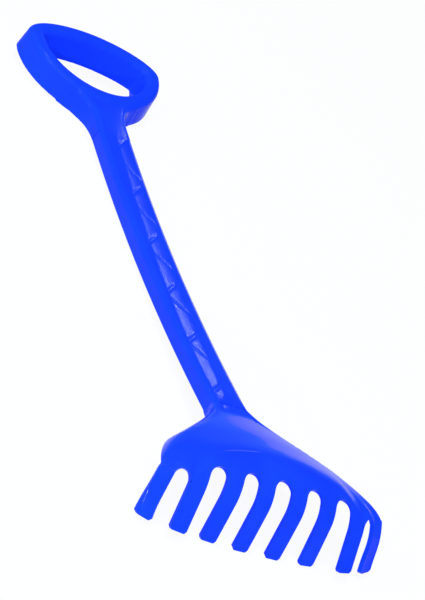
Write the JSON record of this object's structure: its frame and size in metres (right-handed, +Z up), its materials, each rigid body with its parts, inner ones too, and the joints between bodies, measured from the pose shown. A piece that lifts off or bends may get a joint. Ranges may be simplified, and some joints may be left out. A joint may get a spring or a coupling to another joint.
{
  "type": "sand rake",
  "caption": "Moulded toy rake for sand: D-shaped grip loop, bowed channel shaft, fan-shaped hood and a row of curved tines.",
  "frame": {"origin": "centre of the bounding box on the ground plane that the rake lies on", "axes": "+Y along the shaft towards the grip loop, +X across the tines, +Z up from the ground"},
  "size_m": [0.1456, 0.4042, 0.0379],
  "materials": {
    "blue_plastic": "glossy moulded polypropylene, royal blue"
  },
  "bodies": {
    "root": {"handle_loop": "blue_plastic", "neck_flare": "blue_plastic", "shaft_channel": "blue_plastic", "shaft_ribs": "blue_plastic", "head_hood": "blue_plastic", "tine_1": "blue_plastic", "tine_2": "blue_plastic", "tine_3": "blue_plastic", "tine_4": "blue_plastic", "tine_5": "blue_plastic", "tine_6": "blue_plastic", "tine_7": "blue_plastic", "tine_8": "blue_plastic"}
  },
  "joints": []
}
